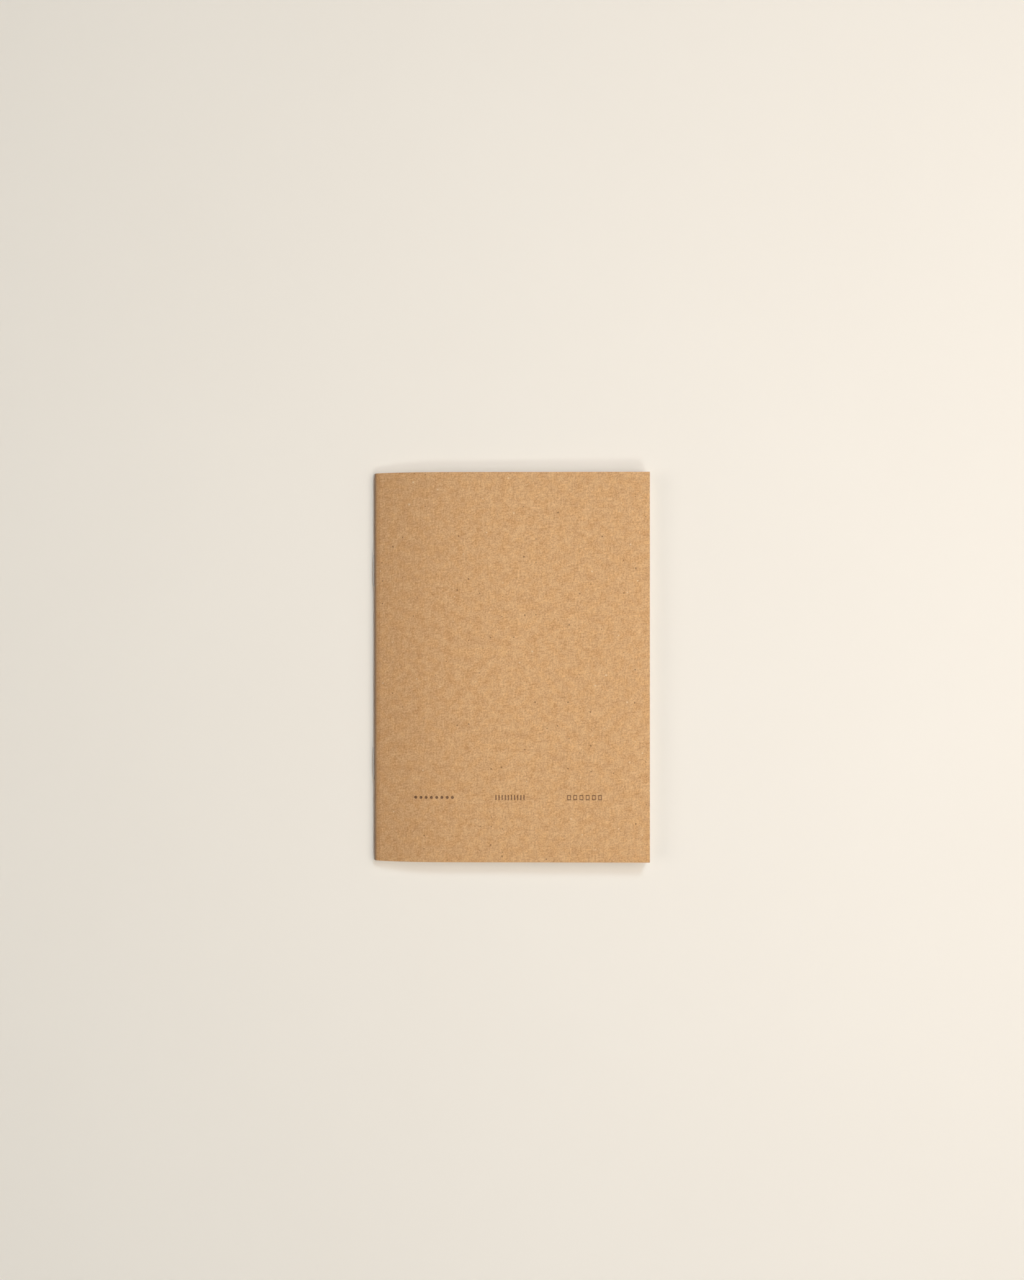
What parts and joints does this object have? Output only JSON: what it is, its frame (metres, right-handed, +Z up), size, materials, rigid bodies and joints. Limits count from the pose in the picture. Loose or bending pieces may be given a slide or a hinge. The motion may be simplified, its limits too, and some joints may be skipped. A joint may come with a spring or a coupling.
{
  "type": "pocket notebook",
  "caption": "Pocket notebook with a plain kraft card cover wrapped round folded paper sheets, two wire staples through the spine, and leaves that turn.",
  "frame": {"origin": "centre of the notebook's outline on the surface that it lies on", "axes": "+X from the spine to the fore edge, +Y along the spine to the head, +Z up through the front cover"},
  "size_m": [0.1054, 0.148, 0.0084],
  "materials": {
    "kraft_card": "matt uncoated kraft card",
    "paper": "matt uncoated paper",
    "steel_wire": "drawn wire"
  },
  "bodies": {
    "back_and_spine": {"back_cover": "kraft_card", "cover_spine": "kraft_card", "sheet_01_fold": "paper", "sheet_02_fold": "paper", "sheet_03_fold": "paper", "sheet_04_fold": "paper", "sheet_05_fold": "paper", "sheet_06_fold": "paper", "sheet_07_fold": "paper", "sheet_08_fold": "paper", "sheet_09_fold": "paper", "sheet_10_fold": "paper", "sheet_11_fold": "paper", "sheet_12_fold": "paper", "staple_upper": "steel_wire", "staple_lower": "steel_wire"},
    "leaf_24": {"leaf_24": "paper"},
    "leaf_23": {"leaf_23": "paper"},
    "leaf_22": {"leaf_22": "paper"},
    "leaf_21": {"leaf_21": "paper"},
    "leaf_20": {"leaf_20": "paper"},
    "leaf_19": {"leaf_19": "paper"},
    "leaf_18": {"leaf_18": "paper"},
    "leaf_17": {"leaf_17": "paper"},
    "leaf_16": {"leaf_16": "paper"},
    "leaf_15": {"leaf_15": "paper"},
    "leaf_14": {"leaf_14": "paper"},
    "leaf_13": {"leaf_13": "paper"},
    "leaf_12": {"leaf_12": "paper"},
    "leaf_11": {"leaf_11": "paper"},
    "leaf_10": {"leaf_10": "paper"},
    "leaf_09": {"leaf_09": "paper"},
    "leaf_08": {"leaf_08": "paper"},
    "leaf_07": {"leaf_07": "paper"},
    "leaf_06": {"leaf_06": "paper"},
    "leaf_05": {"leaf_05": "paper"},
    "leaf_04": {"leaf_04": "paper"},
    "leaf_03": {"leaf_03": "paper"},
    "leaf_02": {"leaf_02": "paper"},
    "leaf_01": {"leaf_01": "paper"},
    "front_cover": {"front_cover": "kraft_card"}
  },
  "joints": [
    {"name": "leaf_24_turn", "type": "hinge", "parent": "back_and_spine", "child": "leaf_24", "pos_m": [-0.05018, 0, 0.0043], "axis": [0, -1, 0], "range_deg": [0, 179.95]},
    {"name": "leaf_23_turn", "type": "hinge", "parent": "leaf_24", "child": "leaf_23", "pos_m": [-0.05018, 0, 0.0043], "axis": [0, -1, 0], "range_deg": [0, 179.95]},
    {"name": "leaf_22_turn", "type": "hinge", "parent": "leaf_23", "child": "leaf_22", "pos_m": [-0.05018, 0, 0.0043], "axis": [0, -1, 0], "range_deg": [0, 179.95]},
    {"name": "leaf_21_turn", "type": "hinge", "parent": "leaf_22", "child": "leaf_21", "pos_m": [-0.05018, 0, 0.0043], "axis": [0, -1, 0], "range_deg": [0, 179.95]},
    {"name": "leaf_20_turn", "type": "hinge", "parent": "leaf_21", "child": "leaf_20", "pos_m": [-0.05018, 0, 0.0043], "axis": [0, -1, 0], "range_deg": [0, 179.95]},
    {"name": "leaf_19_turn", "type": "hinge", "parent": "leaf_20", "child": "leaf_19", "pos_m": [-0.05018, 0, 0.0043], "axis": [0, -1, 0], "range_deg": [0, 179.95]},
    {"name": "leaf_18_turn", "type": "hinge", "parent": "leaf_19", "child": "leaf_18", "pos_m": [-0.05018, 0, 0.0043], "axis": [0, -1, 0], "range_deg": [0, 179.95]},
    {"name": "leaf_17_turn", "type": "hinge", "parent": "leaf_18", "child": "leaf_17", "pos_m": [-0.05018, 0, 0.0043], "axis": [0, -1, 0], "range_deg": [0, 179.95]},
    {"name": "leaf_16_turn", "type": "hinge", "parent": "leaf_17", "child": "leaf_16", "pos_m": [-0.05018, 0, 0.0043], "axis": [0, -1, 0], "range_deg": [0, 179.95]},
    {"name": "leaf_15_turn", "type": "hinge", "parent": "leaf_16", "child": "leaf_15", "pos_m": [-0.05018, 0, 0.0043], "axis": [0, -1, 0], "range_deg": [0, 179.95]},
    {"name": "leaf_14_turn", "type": "hinge", "parent": "leaf_15", "child": "leaf_14", "pos_m": [-0.05018, 0, 0.0043], "axis": [0, -1, 0], "range_deg": [0, 179.95]},
    {"name": "leaf_13_turn", "type": "hinge", "parent": "leaf_14", "child": "leaf_13", "pos_m": [-0.05018, 0, 0.0043], "axis": [0, -1, 0], "range_deg": [0, 179.95]},
    {"name": "leaf_12_turn", "type": "hinge", "parent": "leaf_13", "child": "leaf_12", "pos_m": [-0.05018, 0, 0.0043], "axis": [0, -1, 0], "range_deg": [0, 179.95]},
    {"name": "leaf_11_turn", "type": "hinge", "parent": "leaf_12", "child": "leaf_11", "pos_m": [-0.05018, 0, 0.0043], "axis": [0, -1, 0], "range_deg": [0, 179.95]},
    {"name": "leaf_10_turn", "type": "hinge", "parent": "leaf_11", "child": "leaf_10", "pos_m": [-0.05018, 0, 0.0043], "axis": [0, -1, 0], "range_deg": [0, 179.95]},
    {"name": "leaf_09_turn", "type": "hinge", "parent": "leaf_10", "child": "leaf_09", "pos_m": [-0.05018, 0, 0.0043], "axis": [0, -1, 0], "range_deg": [0, 179.95]},
    {"name": "leaf_08_turn", "type": "hinge", "parent": "leaf_09", "child": "leaf_08", "pos_m": [-0.05018, 0, 0.0043], "axis": [0, -1, 0], "range_deg": [0, 179.95]},
    {"name": "leaf_07_turn", "type": "hinge", "parent": "leaf_08", "child": "leaf_07", "pos_m": [-0.05018, 0, 0.0043], "axis": [0, -1, 0], "range_deg": [0, 179.95]},
    {"name": "leaf_06_turn", "type": "hinge", "parent": "leaf_07", "child": "leaf_06", "pos_m": [-0.05018, 0, 0.0043], "axis": [0, -1, 0], "range_deg": [0, 179.95]},
    {"name": "leaf_05_turn", "type": "hinge", "parent": "leaf_06", "child": "leaf_05", "pos_m": [-0.05018, 0, 0.0043], "axis": [0, -1, 0], "range_deg": [0, 179.95]},
    {"name": "leaf_04_turn", "type": "hinge", "parent": "leaf_05", "child": "leaf_04", "pos_m": [-0.05018, 0, 0.0043], "axis": [0, -1, 0], "range_deg": [0, 179.95]},
    {"name": "leaf_03_turn", "type": "hinge", "parent": "leaf_04", "child": "leaf_03", "pos_m": [-0.05018, 0, 0.0043], "axis": [0, -1, 0], "range_deg": [0, 179.95]},
    {"name": "leaf_02_turn", "type": "hinge", "parent": "leaf_03", "child": "leaf_02", "pos_m": [-0.05018, 0, 0.0043], "axis": [0, -1, 0], "range_deg": [0, 179.95]},
    {"name": "leaf_01_turn", "type": "hinge", "parent": "leaf_02", "child": "leaf_01", "pos_m": [-0.05018, 0, 0.0043], "axis": [0, -1, 0], "range_deg": [0, 179.95]},
    {"name": "front_cover_turn", "type": "hinge", "parent": "leaf_01", "child": "front_cover", "pos_m": [-0.05018, 0, 0.0043], "axis": [0, -1, 0], "range_deg": [0, 179.95]}
  ]
}
